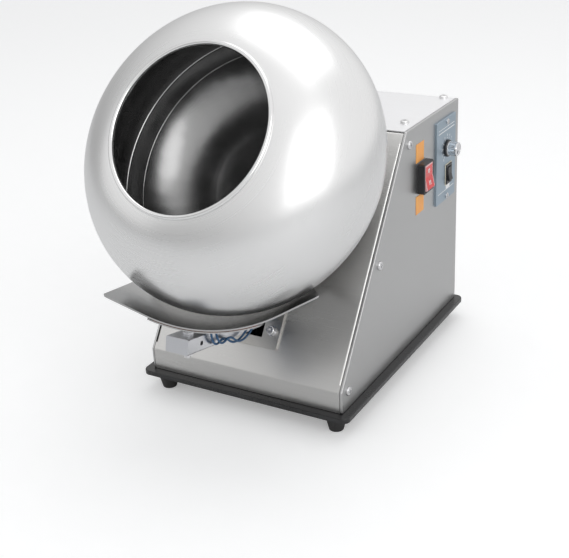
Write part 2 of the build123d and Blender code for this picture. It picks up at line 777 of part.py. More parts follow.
# Two heater leads: from the pad, down beside the arm, over it and in at the window
lead_route = [
    (15.6, 42, -14.5),
    (16.2, 55, -7.5),
    (16.4, 71, -18.5),
    (16.4, 88, -15.5),
    (15.6, 107, -1),
    (8, 131, 3.4),
    (7, 163, 3.9),
]
lead_shifts = [(0, 0, 0), (3.2, 5, 0.5)]
lead_names = ["heater_lead_front", "heater_lead_back"]
for name, start, shift in zip(lead_names, lead_starts, lead_shifts):
    top = (tray * Pos(start[0], start[1], -clamp_high)).position
    below = (tray * Pos(start[0], start[1], -clamp_high - 9)).position
    route = [top, below]
    for x, run, rise in lead_route:
        route.append((arm * Pos(x + shift[0], run + shift[1], rise + shift[2])).position)
    radii = []
    for before, corner, after in zip(route, route[1:], route[2:]):
        run_in = corner - before
        run_out = after - corner
        half_turn = radians(run_in.get_angle(run_out)) / 2
        radii.append(0.45 * min(run_in.length, run_out.length) / tan(half_turn))
    print(name, "bend radii", [round(r, 1) for r in radii])
    path = FilletPolyline(*route, radius=radii)
    start_plane = Plane(origin=path @ 0, z_dir=path % 0)
    pieces[name] = sweep(start_plane * Circle(lead_d / 2), path=path)

# Main switch: housing with a deep frame, and its rocker
frame_out = side_x + switch_proud
switch_body_w = switch_w - 3.5
switch_body_h = switch_h - 3.5
rocker_pivot_x = side_x + 1.5
well_half_h = rocker_h / 2 + 1.1
well_half_w = rocker_w / 2 + 0.4
switch_frame = block(
    side_x,
    frame_out,
    switch_y - switch_w / 2,
    switch_y + switch_w / 2,
    switch_z - switch_h / 2,
    switch_z + switch_h / 2,
)
switch_frame = fillet(switch_frame.edges().filter_by(Axis.X), 2)
switch_frame = fillet(switch_frame.edges().group_by(Axis.X)[-1], 0.8)
switch_body = block(
    side_x - switch_body_depth,
    side_x,
    switch_y - switch_body_w / 2,
    switch_y + switch_body_w / 2,
    switch_z - switch_body_h / 2,
    switch_z + switch_body_h / 2,
)
well = block(
    rocker_pivot_x - 9,
    frame_out + 1,
    switch_y - well_half_w,
    switch_y + well_half_w,
    switch_z - well_half_h,
    switch_z + well_half_h,
)
pieces["main_switch_housing"] = switch_frame + switch_body - well
nose_x = 6.2
tilt_rad = radians(rocker_tilt)
rocker_points = [
    (-3, -rocker_h * 0.3),
    (nose_x - 3.5, -rocker_h / 2),
    (nose_x + rocker_h / 2 * tan(tilt_rad), -rocker_h / 2),
    (nose_x, 0),
    (nose_x + rocker_h / 2 * tan(tilt_rad), rocker_h / 2),
    (nose_x - 3.5, rocker_h / 2),
    (-3, rocker_h * 0.3),
]
rocker_face = Plane.XZ * make_face(Polyline(*rocker_points, close=True))
rocker = extrude(rocker_face, rocker_w / 2, both=True)
rocker = fillet(rocker.edges().filter_by(Axis.Y).group_by(Axis.X)[-1], 0.8)
switch_at = Pos(rocker_pivot_x, switch_y, switch_z)
pieces["main_rocker"] = switch_at * Rot(Y=-rocker_tilt) * rocker
side_cut_gap = 0.3
switch_cut = block(
    inner_half - 1,
    side_x + 1,
    switch_y - switch_body_w / 2 - side_cut_gap,
    switch_y + switch_body_w / 2 + side_cut_gap,
    switch_z - switch_body_h / 2 - side_cut_gap,
    switch_z + switch_body_h / 2 + side_cut_gap,
)

# Blank label plates above and below the main switch
label_w = 20
label_h = 20
label_t = 0.4
label_y = switch_y - 6.5
label_low = block(side_x, side_x + label_t, label_y - label_w / 2, label_y + label_w / 2, 0, label_h)
label_gap = 2
label_spots = [switch_z + switch_h / 2 + label_gap, switch_z - switch_h / 2 - label_gap - label_h]
pieces["switch_labels"] = Part() + [Pos(0, 0, z) * label_low for z in label_spots]

# Speed controller: face plate, body, knob, and a small run switch
control_face_x = side_x + control_plate_t
control_face = block(
    side_x,
    control_face_x,
    control_y - control_w / 2,
    control_y + control_w / 2,
    control_z - control_h / 2,
    control_z + control_h / 2,
)
control_face = fillet(control_face.edges().filter_by(Axis.X), 1.5)
control_face = chamfer(control_face.edges().group_by(Axis.X)[-1], 0.4)
control_body = block(
    side_x - control_body_depth,
    side_x,
    control_y - control_body_w / 2,
    control_y + control_body_w / 2,
    control_z - control_body_h / 2,
    control_z + control_body_h / 2,
)
control_cut = block(
    inner_half - 1,
    side_x + 1,
    control_y - control_body_w / 2 - side_cut_gap,
    control_y + control_body_w / 2 + side_cut_gap,
    control_z - control_body_h / 2 - side_cut_gap,
    control_z + control_body_h / 2 + side_cut_gap,
)
spindle_d = 6
knob_at = Pos(side_x, knob_y, knob_z) * Rot(Y=90)
spindle_hole = rod(spindle_d + 2 * running_gap, -12, control_plate_t + 1)
control_face -= knob_at * spindle_hole
control_body -= knob_at * spindle_hole
knob_foot = control_plate_t + 0.4
spindle = rod(spindle_d, -11, knob_foot + knob_len * 0.7)
pieces["speed_spindle"] = knob_at * spindle
knob_skirt = rod(knob_d + 3.5, knob_foot, knob_foot + 2)
knob_barrel = rod(knob_d, knob_foot, knob_foot + knob_len)
knob_barrel = chamfer(knob_barrel.edges().group_by(Axis.Z)[-1], 1.2)
flute = Pos(knob_d / 2 + 0.3, 0, 0) * rod(1.6, knob_foot + 2, knob_foot + knob_len - 3)
flute_count = 16
for k in range(flute_count):
    knob_barrel -= Rot(Z=360 / flute_count * k) * flute
knob = knob_barrel + knob_skirt
knob -= rod(spindle_d, 0, knob_foot + knob_len * 0.7)
pointer_groove = Pos(0, knob_d / 2, knob_foot + knob_len) * Box(1, knob_d / 2, 1)
knob -= pointer_groove
pieces["speed_knob"] = knob_at * knob

run_w = 15
run_h = 22
run_rocker_w = 9
run_rocker_h = 15
run_depth = 18
run_body = block(
    side_x - run_depth,
    control_face_x,
    run_y - run_w / 2 + 1,
    run_y + run_w / 2 - 1,
    run_z - run_h / 2 + 1,
    run_z + run_h / 2 - 1,
)
run_lip = block(
    control_face_x,
    control_face_x + 1.6,
    run_y - run_w / 2,
    run_y + run_w / 2,
    run_z - run_h / 2,
    run_z + run_h / 2,
)
run_well = block(
    side_x - 5,
    control_face_x + 3,
    run_y - run_rocker_w / 2 - 0.3,
    run_y + run_rocker_w / 2 + 0.3,
    run_z - run_rocker_h / 2 - 0.9,
    run_z + run_rocker_h / 2 + 0.9,
)
pieces["run_switch_housing"] = run_body + run_lip - run_well
run_space = offset(run_body, 0.15, kind=Kind.INTERSECTION)
control_face -= run_space
control_body -= run_space
run_tilt = 7
run_nose = 2.2
run_pivot_x = control_face_x + 0.2
run_flare = run_rocker_h / 2 * tan(radians(run_tilt))
run_points = [
    (-3, -run_rocker_h * 0.3),
    (run_nose - 2, -run_rocker_h / 2),
    (run_nose + run_flare, -run_rocker_h / 2),
    (run_nose, 0),
    (run_nose + run_flare, run_rocker_h / 2),
    (run_nose - 2, run_rocker_h / 2),
    (-3, run_rocker_h * 0.3),
]
run_face = Plane.XZ * make_face(Polyline(*run_points, close=True))
run_rocker = extrude(run_face, run_rocker_w / 2, both=True)
run_at = Pos(run_pivot_x, run_y, run_z)
pieces["run_rocker"] = run_at * Rot(Y=-run_tilt) * run_rocker

# Controller screws
control_screws = []
control_screw_hole = Rot(Y=90) * rod(4 + 2 * hole_gap, -side_t * 2, control_plate_t + 1)
right_cuts = [switch_cut, control_cut]
for z in (control_z + control_h / 2 - 4.5, control_z - control_h / 2 + 4.5):
    spot = Pos(side_x, control_y + 1.7, z)
    control_face -= spot * control_screw_hole
    right_cuts.append(spot * control_screw_hole)
    head = rod(6.4, control_plate_t, control_plate_t + 1.8)
    head = chamfer(head.edges().group_by(Axis.Z)[-1], 0.6)
    head -= Pos(0, 0, control_plate_t + 1.8) * Box(5, 0.9, 1.4)
    control_screws.append(spot * Rot(Y=90) * (head + rod(4, -side_t, control_plate_t + 0.5)))
pieces["controller_screws"] = Part() + control_screws
pieces["controller_face"] = control_face
pieces["controller_body"] = control_body

# Mains inlet in the back cover
inlet_flange = block(
    inlet_x - inlet_w / 2 - 2.5,
    inlet_x + inlet_w / 2 + 2.5,
    back_y,
    back_y + 2.5,
    inlet_z - inlet_h / 2 - 2.5,
    inlet_z + inlet_h / 2 + 2.5,
)
inlet_flange = fillet(inlet_flange.edges().filter_by(Axis.Y), 2)
inlet_body = block(
    inlet_x - inlet_w / 2,
    inlet_x + inlet_w / 2,
    back_y - 24,
    back_y,
    inlet_z - inlet_h / 2,
    inlet_z + inlet_h / 2,
)
socket_w = 24
socket_h = 16
inlet_socket = block(
    inlet_x - socket_w / 2,
    inlet_x + socket_w / 2,
    back_y - 14,
    back_y + 3,
    inlet_z - socket_h / 2,
    inlet_z + socket_h / 2,
)
inlet = inlet_flange + inlet_body - inlet_socket
for x, z in ((-7, -2), (0, 2), (7, -2)):
    pin = block(-1, 1, back_y - 15, back_y - 1, -2, 2)
    inlet += Pos(inlet_x + x, 0, inlet_z + z) * pin
pieces["mains_inlet"] = inlet

# Panels in their final form
right_panel = side_panel
for cut in right_cuts:
    right_panel -= cut
pieces["base_plate"] = base_plate
pieces["right_side_panel"] = right_panel
pieces["left_side_panel"] = mirror(side_panel, Plane.YZ)
pieces["front_panel"] = front_panel
pieces["top_cover"] = top_cover
pieces["back_cover"] = back_cover
for name, rail in (("top_rail", top_rail), ("back_rail", back_rail), ("base_rail", base_rail)):
    pieces["right_" + name] = rail
    pieces["left_" + name] = mirror(rail, Plane.YZ)

# The whole machine is centred over the origin along Y
boxes = [piece.bounding_box() for piece in pieces.values()]
low_y = min(box.min.Y for box in boxes)
high_y = max(box.max.Y for box in boxes)
centring = Pos(0, -(low_y + high_y) / 2, 0)
for name, piece in pieces.items():
    export_step(centring * piece, f"parts/{name}.step")
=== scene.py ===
import json
from math import cos, pi, radians, sin, tan

import bpy
from mathutils import Matrix, Vector


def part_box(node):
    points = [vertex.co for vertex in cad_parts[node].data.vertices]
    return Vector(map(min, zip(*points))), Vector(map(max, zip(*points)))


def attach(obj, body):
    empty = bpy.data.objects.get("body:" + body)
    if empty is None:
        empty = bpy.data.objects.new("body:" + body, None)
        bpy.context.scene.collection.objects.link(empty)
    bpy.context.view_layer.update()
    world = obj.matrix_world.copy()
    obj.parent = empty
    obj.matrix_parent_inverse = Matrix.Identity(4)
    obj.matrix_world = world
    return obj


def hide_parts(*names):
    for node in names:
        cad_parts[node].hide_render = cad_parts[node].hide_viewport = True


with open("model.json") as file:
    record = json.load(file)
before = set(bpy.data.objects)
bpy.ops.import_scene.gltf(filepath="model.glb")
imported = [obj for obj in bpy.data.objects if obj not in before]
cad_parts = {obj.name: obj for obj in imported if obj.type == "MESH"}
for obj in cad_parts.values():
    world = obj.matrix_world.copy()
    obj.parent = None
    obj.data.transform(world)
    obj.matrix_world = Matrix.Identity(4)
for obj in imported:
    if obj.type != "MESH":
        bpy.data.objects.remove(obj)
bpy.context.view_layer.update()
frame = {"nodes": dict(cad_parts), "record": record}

# Looks of the panning machine: metres, the frame of the CAD model.
nodes = frame["nodes"]

JOINT_SPOTS = {j["name"]: Vector(j["pos_m"]) for j in frame["record"]["behaviour"]["joints"]}


def corner(node, high):
    """Lowest or highest corner of a CAD node's box."""
    return Vector(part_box(node)[1 if high else 0])


# Driving values, in metres unless an angle is named; the housing's front edge is at SHIFT_Y
MM = 0.001
LEAN = radians(35.5)
SHIFT_Y = corner("front_panel", False).y
SIDE_X = corner("right_side_panel", True).x
FACE_X = corner("controller_face", True).x
POT_CENTRE = JOINT_SPOTS["pot_spin"]
KNOB_AT = JOINT_SPOTS["speed_turn"]
ROCKER_AT = JOINT_SPOTS["main_rocker_tilt"]
RUN_AT = JOINT_SPOTS["run_rocker_tilt"]
POT_RADIUS = 150 * MM
POT_WALL = 1.5 * MM
FRONT_FLAT = 68 * MM
BACK_FLAT = 64 * MM
ARM_SLOPE = radians(12.8)
ARM_FRONT = Vector((0.0, -102.3 * MM + SHIFT_Y, 133.1 * MM))
LEAD_DIAMETER = 2.2 * MM
LEFT = Vector((0, -1, 0))
RIGHT = Vector((0, 1, 0))
UP = Vector((0, 0, 1))
OUT = Vector((1, 0, 0))

# Camera, solved from the photograph
CAMERA_AT = Vector((0.53045, -0.79102 + SHIFT_Y, 0.57517))
CAMERA_AZIMUTH = radians(30.95)
CAMERA_ELEVATION = radians(24.24)
CAMERA_ROLL = radians(-3.01)
CAMERA_LENS = 67.065
SENSOR_WIDTH = 36.0


class Shader:
    """A node material being built, with a short call for each kind of node."""

    def __init__(self, name):
        self.material = bpy.data.materials.new(name)
        self.material.use_nodes = True
        self.tree = self.material.node_tree
        self.tree.nodes.clear()
        self.surface = self.add("ShaderNodeBsdfPrincipled")
        output = self.add("ShaderNodeOutputMaterial")
        self.link(self.surface.outputs["BSDF"], output.inputs["Surface"])

    def add(self, kind, **settings):
        node = self.tree.nodes.new(kind)
        for key, value in settings.items():
            setattr(node, key, value)
        return node

    def link(self, source, target):
        self.tree.links.new(source, target)

    def set(self, **values):
        """Sets the surface's own sockets; underscores stand for spaces."""
        for key, value in values.items():
            self.surface.inputs[key.replace("_", " ")].default_value = value
        return self

    def plug(self, source, socket):
        self.link(source, self.surface.inputs[socket])

    def place(self):
        return self.add("ShaderNodeTexCoord").outputs["Object"]

    def stretched(self, scale, vector=None):
        node = self.add("ShaderNodeMapping")
        node.inputs["Scale"].default_value = scale
        self.link(vector or self.place(), node.inputs["Vector"])
        return node.outputs["Vector"]

    def noise(self, vector, scale=1.0, detail=4.0, roughness=0.55):
        node = self.add("ShaderNodeTexNoise")
        node.inputs["Scale"].default_value = scale
        node.inputs["Detail"].default_value = detail
        node.inputs["Roughness"].default_value = roughness
        self.link(vector, node.inputs["Vector"])
        return node.outputs["Fac"]

    def span(self, value, low, high, to_low, to_high):
        node = self.add("ShaderNodeMapRange")
        node.inputs["From Min"].default_value = low
        node.inputs["From Max"].default_value = high
        node.inputs["To Min"].default_value = to_low
        node.inputs["To Max"].default_value = to_high
        self.link(value, node.inputs["Value"])
        return node.outputs["Result"]

    def math(self, operation, a, b=None):
        node = self.add("ShaderNodeMath", operation=operation)
        for socket, value in zip(node.inputs, (a, b)):
            if value is None:
                continue
            if isinstance(value, (int, float)):
                socket.default_value = value
            else:
                self.link(value, socket)
        return node.outputs["Value"]

    def blend(self, factor, low, high):
        """Mixes two colours by a factor."""
        node = self.add("ShaderNodeMix", data_type="RGBA")
        self.link(factor, node.inputs["Factor"])
        for socket, value in ((node.inputs[6], low), (node.inputs[7], high)):
            if isinstance(value, tuple):
                socket.default_value = (*value, 1.0)
            else:
                self.link(value, socket)
        return node.outputs[2]

    def relief(self, height, strength, distance, under=None):
        node = self.add("ShaderNodeBump")
        node.inputs["Strength"].default_value = strength
        node.inputs["Distance"].default_value = distance
        self.link(height, node.inputs["Height"])
        if under is not None:
            self.link(under, node.inputs["Normal"])
        return node.outputs["Normal"]


def brushed_steel(name, stretch, low=0.24, high=0.42, tone=(0.60, 0.60, 0.60), grain=0.03):
    """Sheet steel with a fine linear grain; the grain runs along the smallest stretch."""
    shader = Shader(name)
    shader.set(Metallic=1.0)
    lines = shader.noise(shader.stretched(stretch), 1.0, 3.0, 0.6)
    clouds = shader.noise(shader.place(), 7.0, 3.0, 0.5)
    rough = shader.span(lines, 0.3, 0.7, low, high)
    rough = shader.math("ADD", rough, shader.span(clouds, 0.3, 0.7, -0.03, 0.04))
    shader.plug(rough, "Roughness")
    dark = tuple(0.93 * c for c in tone)
    shader.plug(shader.blend(shader.span(lines, 0.25, 0.75, 0, 1), dark, tone), "Base Color")
    shader.plug(shader.relief(lines, grain, 0.0001), "Normal")
    return shader.material


def pot_place(shader):
    """Position about the pot's axis as (angle, radius, height along the axis)."""
    move = shader.add("ShaderNodeVectorMath", operation="SUBTRACT")
    shader.link(shader.place(), move.inputs[0])
    move.inputs[1].default_value = POT_CENTRE
    turn = shader.add("ShaderNodeVectorRotate", rotation_type="X_AXIS")
    turn.inputs["Angle"].default_value = LEAN - pi / 2
    shader.link(move.outputs["Vector"], turn.inputs["Vector"])
    parts = shader.add("ShaderNodeSeparateXYZ")
    shader.link(turn.outputs["Vector"], parts.inputs["Vector"])
    x, y, z = parts.outputs
    angle = shader.math("ARCTAN2", y, x)
    radius = shader.math("SQRT", shader.math("ADD", shader.math("MULTIPLY", x, x), shader.math("MULTIPLY", y, y)))
    return angle, radius, z


def spun_steel(name, low, high, tone):
    """Polished spun steel: very fine rings about the pot's axis, and faint buffing clouds."""
    shader = Shader(name)
    shader.set(Metallic=1.0)
    rough, colour, rings = spun_parts(shader, low, high, tone)
    shader.plug(rough, "Roughness")
    shader.plug(colour, "Base Color")
    shader.plug(shader.relief(rings, 0.02, 0.0001), "Normal")
    return shader.material


def spun_parts(shader, low, high, tone):
    """Roughness, colour and ring height of a spun surface."""
    angle, radius, height = pot_place(shader)
    joined = shader.add("ShaderNodeCombineXYZ")
    shader.link(shader.math("MULTIPLY", shader.math("SINE", angle), 0.6), joined.inputs[0])
    shader.link(shader.math("MULTIPLY", radius, 1500.0), joined.inputs[1])
    shader.link(shader.math("MULTIPLY", height, 1500.0), joined.inputs[2])
    rings = shader.noise(joined.outputs["Vector"], 1.0, 2.0, 0.5)
    clouds = shader.noise(shader.place(), 11.0, 4.0, 0.5)
    rough = shader.span(rings, 0.3, 0.7, low, high)
    rough = shader.math("ADD", rough, shader.span(clouds, 0.3, 0.7, -0.015, 0.02))
    dark = tuple(0.97 * c for c in tone)
    colour = shader.blend(shader.span(clouds, 0.3, 0.7, 0, 1), dark, tone)
    return rough, colour, rings


def pot_steel(name):
    """Satin-polished outside of the pot and its duller inside, whose colour is darkened as painted shade of the hollow.
    """
    shader = Shader(name)
    shader.set(Metallic=1.0)
    angle, radius, height = pot_place(shader)
    front = shader.math("GREATER_THAN", height, 0.0)
    flat = shader.span(front, 0, 1, BACK_FLAT, FRONT_FLAT)
    middle = shader.span(front, 0, 1, *(POT_RADIUS - f - POT_WALL / 2 for f in (BACK_FLAT, FRONT_FLAT)))
    beyond = shader.math("MAXIMUM", shader.math("SUBTRACT", radius, flat), 0.0)
    reach = shader.math("ADD", shader.math("MULTIPLY", beyond, beyond), shader.math("MULTIPLY", height, height))
    inside = shader.math("LESS_THAN", shader.math("SQRT", reach), middle)
    rough, colour, rings = spun_parts(shader, 0.27, 0.31, OUTSIDE_TONE)
    stain = shader.noise(shader.place(), 30.0, 5.0, 0.6)
    dull_rough = shader.span(stain, 0.3, 0.7, 0.2, 0.27)
    # Inside colour: faint stains over a tone darkened as painted shade of the pot's hollow.
    shaded_inside_colour = shader.blend(stain, tuple(0.9 * c for c in INSIDE_SHADED_TONE), INSIDE_SHADED_TONE)
    mixed = shader.math("ADD", rough, shader.math("MULTIPLY", inside, shader.math("SUBTRACT", dull_rough, rough)))
    shader.plug(mixed, "Roughness")
    shader.plug(shader.blend(inside, colour, shaded_inside_colour), "Base Color")
    shader.plug(shader.relief(rings, 0.02, 0.0001), "Normal")
    return shader.material


def ground_steel(name, tone=(0.55, 0.55, 0.56), low=0.22, high=0.38):
    """Plain machined or plated steel with fine scratches."""
    shader = Shader(name)
    shader.set(Metallic=1.0)
    scratches = shader.noise(shader.place(), 900.0, 3.0, 0.6)
    stains = shader.noise(shader.place(), 60.0, 4.0, 0.5)
    shader.plug(shader.span(scratches, 0.3, 0.7, low, high), "Roughness")
    dark = tuple(0.82 * c for c in tone)
    shader.plug(shader.blend(shader.span(stains, 0.35, 0.65, 0, 1), dark, tone), "Base Color")
    shader.plug(shader.relief(scratches, 0.04, 0.0001), "Normal")
    return shader.material


def painted(name, tone, rough, peel, coat=0.0, metal=0.0):
    """Paint, enamel, plastic or rubber: a fine skin relief and faint wear in the tone."""
    shader = Shader(name)
    shader.set(Metallic=metal, Coat_Weight=coat, Coat_Roughness=0.08)
    skin = shader.noise(shader.place(), 700.0, 3.0, 0.5)
    wear = shader.noise(shader.place(), 45.0, 4.0, 0.55)
    light = tuple(min(1.0, 1.25 * c + 0.006) for c in tone)
    shader.plug(shader.blend(shader.span(wear, 0.4, 0.75, 0, 1), tone, light), "Base Color")
    shader.plug(shader.span(wear, 0.3, 0.7, rough * 0.85, rough * 1.2), "Roughness")
    shader.plug(shader.relief(skin, peel, 0.0003), "Normal")
    return shader.material


def rocker_look(name):
    """Clear red moulding with a pale painted highlight along its thin rim."""
    shader = Shader(name)
    shader.set(Coat_Weight=0.5, Coat_Roughness=0.06, Roughness=0.18)
    parts = shader.add("ShaderNodeSeparateXYZ")
    shader.link(shader.place(), parts.inputs["Vector"])
    across = shader.math("ABSOLUTE", shader.math("SUBTRACT", parts.outputs[1], ROCKER_AT.y))
    along = shader.math("ABSOLUTE", shader.math("SUBTRACT", parts.outputs[2], ROCKER_AT.z))
    # Mask of the rocker's outer rim, where the pale painted highlight goes.
    side_highlight_rim = shader.math("GREATER_THAN", across, ROCKER_W / 2 - ROCKER_HIGHLIGHT_RIM)
    end_highlight_rim = shader.math("GREATER_THAN", along, ROCKER_H / 2 - ROCKER_HIGHLIGHT_RIM)
    rim = shader.math("MAXIMUM", side_highlight_rim, end_highlight_rim)
    depth = shader.noise(shader.place(), 160.0, 3.0, 0.5)
    red = shader.blend(depth, (0.62, 0.006, 0.01), (0.86, 0.02, 0.025))
    # The pale pink rim colour is a painted highlight on the rocker's edges.
    shader.plug(shader.blend(rim, red, (0.90, 0.52, 0.52)), "Base Color")
    return shader.material


ROCKER_W = 20 * MM
ROCKER_H = 27.2 * MM
# Width of the rocker's rim that carries the painted highlight.
ROCKER_HIGHLIGHT_RIM = 0.9 * MM
ROCKER_TILT = radians(6)
ROCKER_NOSE = 6.2 * MM


def dress(names, material):
    """Gives CAD nodes a material in place of their plain one."""
    for name in names:
        mesh_slots = nodes[name].material_slots
        if not mesh_slots:
            nodes[name].data.materials.append(material)
        for place in nodes[name].material_slots:
            place.material = material


OUTSIDE_TONE = (0.80, 0.80, 0.80)
# The inside tone is far darker than the outside tone: painted shade of the pot's hollow.
INSIDE_SHADED_TONE = (0.36, 0.36, 0.36)

# Materials on the CAD pieces
panel_front = brushed_steel("front_brushed_steel", (14, 2600, 2600), 0.26, 0.34, (0.60, 0.595, 0.585))
# The side panels' darker tone is painted shade: the same sheet steel as the front, darkened for the sides turned from
# the light.
panel_side_painted_shade = brushed_steel("side_brushed_steel_painted_shade", (2400, 14, 2600), 0.32, 0.4, (0.52, 0.52, 0.52))
# The top cover's near-white tone is painted light: the same sheet steel as the front, brightened for the overhead light
# it faces.
panel_top_painted_light = brushed_steel("top_brushed_steel_painted_light", (14, 2600, 2400), 0.4, 0.5, (0.90, 0.90, 0.91))
panel_back = brushed_steel("back_brushed_steel", (14, 2600, 2400), 0.34, 0.42, (0.60, 0.60, 0.60))
tray_steel = brushed_steel("tray_brushed_steel", (700, 1500, 1500), 0.2, 0.28, (0.50, 0.50, 0.50))
arm_steel = brushed_steel("arm_brushed_steel", (2500, 14, 2500), 0.26, 0.34, (0.62, 0.63, 0.66))
plate_steel = brushed_steel("plate_brushed_steel", (14, 2600, 2600), 0.26, 0.34, (0.50, 0.49, 0.47))
pot_metal = pot_steel("spun_pot_steel_painted_inner_shade")
bead_steel = spun_steel("rolled_bead_steel", 0.10, 0.14, (0.80, 0.80, 0.80))
shaft_steel = ground_steel("ground_shaft_steel", (0.5, 0.5, 0.51), 0.15, 0.28)
zinc_steel = ground_steel("bright_screw_steel", (0.70, 0.70, 0.71), 0.14, 0.24)
# The top cover screws' near-white tone is painted light: the same bright screw steel, lightened like the lit top cover.
roof_screw_steel_painted_light = ground_steel("roof_screw_steel_painted_light", (0.88, 0.88, 0.88), 0.3, 0.4)
cast_metal = painted("cast_aluminium", (0.42, 0.43, 0.44), 0.5, 0.25, metal=0.8)
black_enamel = painted("black_enamel", (0.008, 0.008, 0.009), 0.28, 0.03, coat=0.15)
machine_paint = painted("dark_machine_paint", (0.05, 0.055, 0.06), 0.42, 0.12)
foot_rubber = painted("foot_rubber", (0.022, 0.021, 0.021), 0.6, 0.3)
black_plastic = painted("black_plastic", (0.014, 0.014, 0.016), 0.33, 0.1)
label_orange = painted("blank_label_orange", (0.95, 0.40, 0.09), 0.42, 0.04)
silicone_mat = painted("silicone_mat", (0.45, 0.12, 0.05), 0.55, 0.2)
lead_blue = painted("lead_blue", (0.020, 0.085, 0.19), 0.38, 0.08)
control_metal = brushed_steel("control_anodised", (2500, 14, 2600), 0.3, 0.38, (0.38, 0.46, 0.53))

dress(["front_panel"], panel_front)
dress(["left_side_panel", "right_side_panel"], panel_side_painted_shade)
dress(["top_cover"], panel_top_painted_light)
dress(["back_cover"], panel_back)
dress(["heater_tray", "tray_clamp_plate"], tray_steel)
dress(["heater_arm"], arm_steel)
dress(["window_plate"], plate_steel)
dress(["pot_front_bowl", "pot_back_bowl"], pot_metal)
dress(["pot_mouth_bead"], bead_steel)
dress(["main_shaft", "shaft_bearing", "gearbox_output_shaft", "pot_hub", "bearing_housing"], shaft_steel)
dress(["gearbox"], cast_metal)
dress(["gear_motor", "drive_stand", "arm_bracket"], machine_paint)
dress(["base_plate"], black_enamel)
dress([n for n in nodes if n.endswith("_foot")], foot_rubber)
dress(
    [
        "motor_fan_cover",
        "run_capacitor",
        "main_switch_housing",
        "run_switch_housing",
        "run_rocker",
        "controller_body",
        "mains_inlet",
    ],
    black_plastic,
)
dress(["controller_face"], control_metal)
dress(["main_rocker"], rocker_look("rocker_red_with_painted_rim_highlight"))
dress(["switch_labels"], label_orange)
dress(["heater_pad"], silicone_mat)
screw_words = ("_screws", "_bolts", "_studs", "_nuts", "_rail", "arm_bolt", "tray_stud", "speed_spindle")
dress([n for n in nodes if n.endswith(screw_words)], zinc_steel)
dress(["top_cover_screws"], roof_screw_steel_painted_light)


def new_mesh(name, points, faces, material, body):
    """A small piece of its own mesh, riding on a body."""
    mesh = bpy.data.meshes.new(name)
    mesh.from_pydata([tuple(p) for p in points], [], faces)
    mesh.update()
    piece = bpy.data.objects.new(name, mesh)
    bpy.context.scene.collection.objects.link(piece)
    mesh.materials.append(material)
    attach(piece, body)
    return piece


def plate(name, centre, right, up, out, width, height, thick, material, body):
    """Thin rectangular plate that stands on a surface with its back at centre."""
    points = []
    for depth in (0, thick):
        for x, y in ((-1, -1), (1, -1), (1, 1), (-1, 1)):
            points.append(centre + right * (x * width / 2) + up * (y * height / 2) + out * depth)
    faces = [(3, 2, 1, 0), (4, 5, 6, 7), (0, 1, 5, 4), (1, 2, 6, 5), (2, 3, 7, 6), (3, 0, 4, 7)]
    return new_mesh(name, points, faces, material, body)


def flat_ring(name, centre, right, up, out, outer, inner, thick, material, body, steps=28):
    """Thin flat ring; inner 0 gives a disc."""
    points = []
    for depth in (0, thick):
        for radius in (outer, max(inner, outer * 0.02)):
            for k in range(steps):
                turn = 2 * pi * k / steps
                spot = right * (radius * cos(turn)) + up * (radius * sin(turn))
                points.append(centre + spot + out * depth)
    faces = []
    for k in range(steps):
        n = (k + 1) % steps
        low_out, low_in, top_out, top_in = 0, steps, 2 * steps, 3 * steps
        faces.append((top_out + k, top_out + n, top_in + n, top_in + k))
        faces.append((low_out + n, low_out + k, low_in + k, low_in + n))
        faces.append((low_out + k, low_out + n, top_out + n, top_out + k))
        faces.append((low_in + n, low_in + k, top_in + k, top_in + n))
    return new_mesh(name, points, faces, material, body)


# Printed marks: on the rocker, round the dial and on the controller's plate
mark_white = painted("printed_white", (0.86, 0.86, 0.86), 0.45, 0.02)
mark_dark = painted("printed_dark", (0.03, 0.035, 0.05), 0.45, 0.02)


def rocker_spot(height):
    """Point, up and out on the pressed or the raised half of the main rocker's face."""
    lean = -2 * ROCKER_TILT if height < 0 else 0.0
    flare = abs(height) * tan(ROCKER_TILT)
    local = Vector((ROCKER_NOSE + flare + 0.02 * MM, 0, height))
    tilt = Matrix.Rotation(-ROCKER_TILT, 3, "Y")
    half = Matrix.Rotation(ROCKER_TILT if height > 0 else -ROCKER_TILT, 3, "Y")
    return ROCKER_AT + tilt @ local, tilt @ half @ UP, tilt @ half @ OUT


spot, up, out = rocker_spot(6.4 * MM)
flat_ring("rocker_mark_off", spot, LEFT, up, out, 2.3 * MM, 1.3 * MM, 0.12 * MM, mark_white, "main_switch_rocker")
spot, up, out = rocker_spot(-6.6 * MM)
for side in (-1, 1):
    plate(
        f"rocker_mark_on_{'left' if side < 0 else 'right'}",
        spot + LEFT * (side * 1.5 * MM),
        LEFT,
        up,
        out,
        1.1 * MM,
        4.8 * MM,
        0.12 * MM,
        mark_white,
        "main_switch_rocker",
    )



def revolved(name, profile, centre, across, up, out, material, body, ridge=0.0, ridges=0):
    """Turned piece from (radius, height) points; ridged points have a third value, the ridge share."""
    steps = 96
    points = []
    for radius, height, share in profile:
        for k in range(steps):
            turn = 2 * pi * k / steps
            reach = radius + ridge * share * (0.5 + 0.5 * cos(ridges * turn))
            spot = across * (reach * cos(turn)) + up * (reach * sin(turn))
            points.append(centre + spot + out * height)
    faces = []
    for row in range(len(profile) - 1):
        for k in range(steps):
            n = (k + 1) % steps
            faces.append((row * steps + k, row * steps + n, (row + 1) * steps + n, (row + 1) * steps + k))
    faces.append(tuple(reversed(range(steps))))
    last = (len(profile) - 1) * steps
    faces.append(tuple(range(last, last + steps)))
    piece = new_mesh(name, points, faces, material, body)
    for face in piece.data.polygons:
        face.use_smooth = len(face.vertices) == 4
    piece.data.set_sharp_from_angle(angle=radians(28))
    return piece


